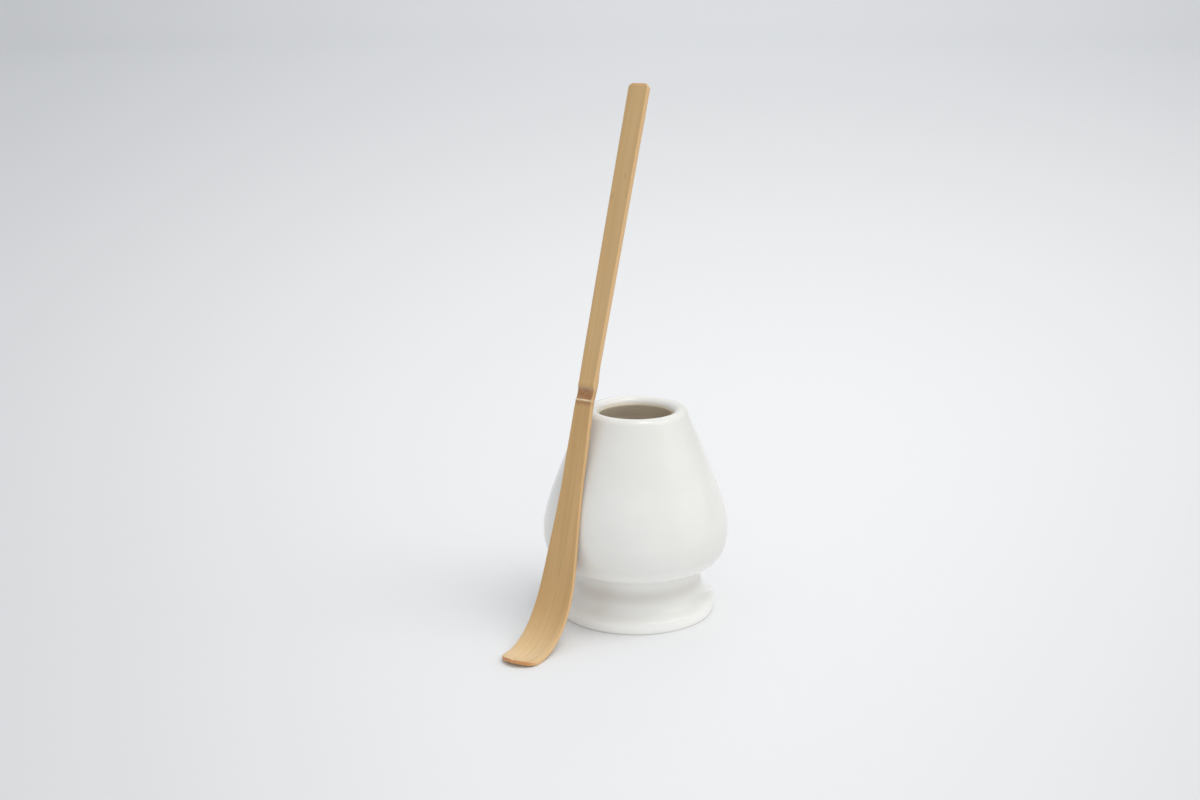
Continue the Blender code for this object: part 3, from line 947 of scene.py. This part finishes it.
class OBJECT_OT_tea_scoop_add(bpy.types.Operator):
    """Add the carved bamboo tea scoop"""

    bl_idname = "object.tea_scoop_add"
    bl_label = "Tea Scoop"
    bl_options = {"REGISTER", "UNDO"}

    def execute(self, context):
        s = context.scene.tea_scoop
        stations = strip_stations(s)
        shape = bmesh.new()
        grain = shape.verts.layers.float_vector.new("grain")
        layers = {
            name: shape.verts.layers.float.new(name)
            for name in ("cut_side", "node_band", "node_ridge", "end_grain")
        }
        rings = []
        for station, (centre, bend) in zip(stations, strip_centres(s, stations)):
            front = Vector((0.0, -math.cos(bend), math.sin(bend)))
            ring = []
            for across, out, side in ring_outline(s, station):
                vert = shape.verts.new(centre + Vector((across, 0.0, 0.0)) + front * out)
                vert[grain] = Vector((across, station, out))
                self.dress(s, vert, layers, station, across, out, side)
                ring.append(vert)
            rings.append(ring)
        for ring, following in zip(rings, rings[1:]):
            for index in range(len(ring)):
                after = (index + 1) % len(ring)
                shape.faces.new((ring[index], ring[after], following[after], following[index]))
        for ring in (rings[0], rings[-1]):
            shape.faces.new(ring)
        ends = [face for face in shape.faces if len(face.verts) > 4]
        bmesh.ops.triangulate(shape, faces=ends)
        bmesh.ops.recalc_face_normals(shape, faces=shape.faces)
        mesh = smooth_mesh(shape, "bamboo_scoop")
        mesh.set_sharp_from_angle(angle=math.radians(50))
        placed = (
            Matrix.Translation(HOLDER_AXIS + Vector(s.place))
            @ Matrix.Rotation(-s.lean_way, 4, "Z")
            @ Matrix.Rotation(-s.lean, 4, "X")
            @ Matrix.Rotation(s.face_turn, 4, "Z")
        )
        mesh.transform(placed)
        mesh.materials.append(bamboo_material(s))
        scoop = new_object("bamboo_scoop", mesh)
        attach(scoop, "scoop")
        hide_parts("tea_scoop")
        return {"FINISHED"}

    def dress(self, s, vert, layers, station, across, out, side):
        """Marks what the point is: cut side, node hollow, pale ridge or end grain."""
        ridge = s.node_length
        band = ease((station - 0.0006) / 0.0014) * ease((ridge + 0.0003 - station) / 0.0006)
        # A darker brown band just below the ridge.
        node_brown = bump_at(station, ridge + 0.0009, 0.0011)
        on_face = 1.0 if out > 0 and side == 0.0 else 0.35
        vert[layers["cut_side"]] = side
        vert[layers["node_band"]] = max(band, 0.75 * node_brown) * on_face
        vert[layers["node_ridge"]] = bump_at(station, ridge, 0.00036) * on_face
        to_toe = s.blade_length - station
        to_end = s.handle_length + station
        rim = side * ease(1.0 - (to_toe - s.toe_round * 0.3) / (s.toe_round * 0.5))
        tips = (ease(1.0 - to_toe / TOE_BAND), ease(1.0 - to_end / END_BAND))
        vert[layers["end_grain"]] = max(rim, *tips)


# ---- stage

# The sweep's sizes in metres, and where the fan of its shading starts and turns.
FLOOR_RADIUS, BEND_RADIUS, WALL_TOP, SWEEP_STEPS = 3.5, 1.0, 1.6, 96
FAN_BACK, FAN_LEAST, FAN_ASIDE, NEAR_LINE = 0.47, 0.05, 0.056, 0.30
SHADE_MOST, SHADE_TINT, TOOTH_SCALE = 0.3, (0.10, 0.12, 0.14), 900.0
# The lights: name (and name of the setting that holds the power), place, size and tint.
WARM, COOL, SKY_TINT = (1.0, 0.985, 0.96), (0.95, 0.975, 1.0), (0.965, 0.98, 1.0, 1.0)
LIGHTS = (
    ("key", (1.49, -0.50, 1.89), 1.75, WARM),
    ("side", (2.2, -0.3, 0.8), 2.0, WARM),
    ("front", (0.1, -2.0, 0.55), 1.0, COOL),
    ("far", (0.3, 3.4, 2.4), 1.6, COOL),
    ("spark", (0.25, -0.11, 1.33), 0.40, WARM),
)
LIGHT_TARGET, FAR_TARGET = Vector((0.0, 0.0, 0.05)), (0.3, 3.4, 0.0)


def sweep_material(settings):
    """Pale paper of the sweep, with a faint tooth and painted shade to both sides and towards the
    front.
    """
    made, board, shader = new_material("studio_sweep")
    place = board.add("ShaderNodeTexCoord").outputs["Object"]
    tooth = board.spread(board.noise(place, TOOTH_SCALE), 0.3, 0.7, 0.0, 1.0)
    floor = tuple(settings.floor)
    body = board.blend(tooth, dimmed(floor, 0.992), floor)
    parts = board.parts(place)
    reach = board.maths("MAXIMUM", board.maths("ADD", parts["Y"], FAN_BACK), FAN_LEAST)
    aside = board.maths("SUBTRACT", board.maths("DIVIDE", parts["X"], reach), FAN_ASIDE)
    shade = board.maths("MULTIPLY", board.maths("POWER", aside, 2.0), settings.shade)
    near = board.maths("MAXIMUM", board.maths("SUBTRACT", NEAR_LINE, parts["Y"]), 0.0)
    near = board.maths("MULTIPLY", board.maths("POWER", near, 2.0), settings.near_shade)
    shade = board.maths("DIVIDE", board.maths("ADD", shade, near), SHADE_MOST)
    shade = board.maths("MULTIPLY", board.maths("TANH", shade), SHADE_MOST)
    body = board.blend(shade, body, SHADE_TINT)
    board.join(body, shader.inputs["Base Color"])
    shader.inputs["Roughness"].default_value = 0.75
    shader.inputs["Specular IOR Level"].default_value = 0.2
    return made


def sweep_mesh():
    """A round floor that curves up into a wall, open at the top."""
    profile = [Vector((FLOOR_RADIUS * part, 0.0)) for part in (0.1, 0.3, 0.6, 0.85)]
    middle = Vector((FLOOR_RADIUS, BEND_RADIUS))
    profile += arc(middle, BEND_RADIUS, -math.pi / 2, 0.0, 24)
    profile.append(Vector((FLOOR_RADIUS + BEND_RADIUS, WALL_TOP)))
    turns = [2 * math.pi * index / SWEEP_STEPS for index in range(SWEEP_STEPS)]
    shape = bmesh.new()
    centre = shape.verts.new((0.0, 0.0, 0.0))
    rings = []
    for point in profile:
        ring = [(point.x * math.cos(turn), point.x * math.sin(turn), point.y) for turn in turns]
        rings.append([shape.verts.new(place) for place in ring])
    for index in range(SWEEP_STEPS):
        after = (index + 1) % SWEEP_STEPS
        shape.faces.new((centre, rings[0][index], rings[0][after]))
        for ring, following in zip(rings, rings[1:]):
            shape.faces.new((ring[index], following[index], following[after], ring[after]))
    return smooth_mesh(shape, "studio_sweep")


def area_light(name, place, target, size, power, tint):
    """A square light that faces a point."""
    data = bpy.data.lights.new(name, "AREA")
    data.shape = "SQUARE"
    data.size = size
    data.energy = power
    data.color = tint
    lamp = bpy.data.objects.new(name, data)
    bpy.context.scene.collection.objects.link(lamp)
    lamp.location = place
    lamp.rotation_euler = (Vector(target) - Vector(place)).to_track_quat("-Z", "Y").to_euler()
    return lamp


def soft_sky(strength):
    """Even soft light from all round."""
    world = bpy.data.worlds.new("studio_light")
    bpy.context.scene.world = world
    world.use_nodes = True
    back = world.node_tree.nodes["Background"]
    back.inputs["Color"].default_value = SKY_TINT
    back.inputs["Strength"].default_value = strength


def set_camera(settings):
    """The camera in front of the holder, looking down at it."""
    data = bpy.data.cameras.new("camera")
    data.sensor_width = 36.0
    data.lens = settings.focal_length
    data.clip_start = 0.01
    pitch, heading, roll = settings.pitch, settings.heading, settings.roll
    ahead = Vector(
        (
            math.sin(heading) * math.cos(pitch),
            math.cos(heading) * math.cos(pitch),
            -math.sin(pitch),
        )
    )
    level = Vector((math.cos(heading), -math.sin(heading), 0.0))
    upward = level.cross(ahead)
    right = level * math.cos(roll) + upward * math.sin(roll)
    above = upward * math.cos(roll) - level * math.sin(roll)
    turned = Matrix((right, above, -ahead)).transposed().to_4x4()
    camera = bpy.data.objects.new("camera", data)
    bpy.context.scene.collection.objects.link(camera)
    stand = HOLDER_AXIS + Vector((0.0, -settings.distance, settings.camera_height))
    camera.matrix_world = Matrix.Translation(stand) @ turned
    bpy.context.scene.camera = camera


class SCENE_OT_tea_stage_add(bpy.types.Operator):
    """Add the sweep, the soft lights and the camera"""

    bl_idname = "scene.tea_stage_add"
    bl_label = "Studio Stage"
    bl_options = {"REGISTER", "UNDO"}

    def execute(self, context):
        settings = context.scene.tea_stage
        sweep = new_object("studio_sweep", sweep_mesh())
        sweep.data.materials.append(sweep_material(settings))
        soft_sky(settings.sky)
        for name, place, size, tint in LIGHTS:
            target = FAR_TARGET if name == "far" else HOLDER_AXIS + LIGHT_TARGET
            lamp = area_light(name, place, target, size, getattr(settings, name), tint)
            lamp.visible_glossy = name != "front"
        set_camera(settings)
        context.scene.view_settings.view_transform = "Standard"
        return {"FINISHED"}


# ---- add-on


class VIEW3D_PT_tea_set(bpy.types.Panel):
    """Sizes, finishes and the buttons that build each piece"""

    bl_idname = "VIEW3D_PT_tea_set"
    bl_label = "Tea Whisk Holder and Scoop"
    bl_space_type = "VIEW_3D"
    bl_region_type = "UI"
    bl_category = "Tea Set"

    def draw(self, context):
        for group, operator in (
            (context.scene.tea_holder, OBJECT_OT_tea_holder_add),
            (context.scene.tea_scoop, OBJECT_OT_tea_scoop_add),
            (context.scene.tea_stage, SCENE_OT_tea_stage_add),
        ):
            box = self.layout.box()
            box.operator(operator.bl_idname)
            for name in group.__annotations__:
                box.prop(group, name)


GROUPS = {"tea_holder": HolderSettings, "tea_scoop": ScoopSettings, "tea_stage": StageSettings}
CLASSES = (
    *GROUPS.values(),
    OBJECT_OT_tea_holder_add,
    OBJECT_OT_tea_scoop_add,
    SCENE_OT_tea_stage_add,
    VIEW3D_PT_tea_set,
)


def register():
    for made in CLASSES:
        bpy.utils.register_class(made)
    for name, kind in GROUPS.items():
        setattr(bpy.types.Scene, name, bpy.props.PointerProperty(type=kind))


def unregister():
    for name in GROUPS:
        delattr(bpy.types.Scene, name)
    for made in reversed(CLASSES):
        bpy.utils.unregister_class(made)


def main():
    register()
    bpy.ops.object.tea_holder_add()
    bpy.ops.object.tea_scoop_add()
    bpy.ops.scene.tea_stage_add()


if __name__ == "__main__":
    main()
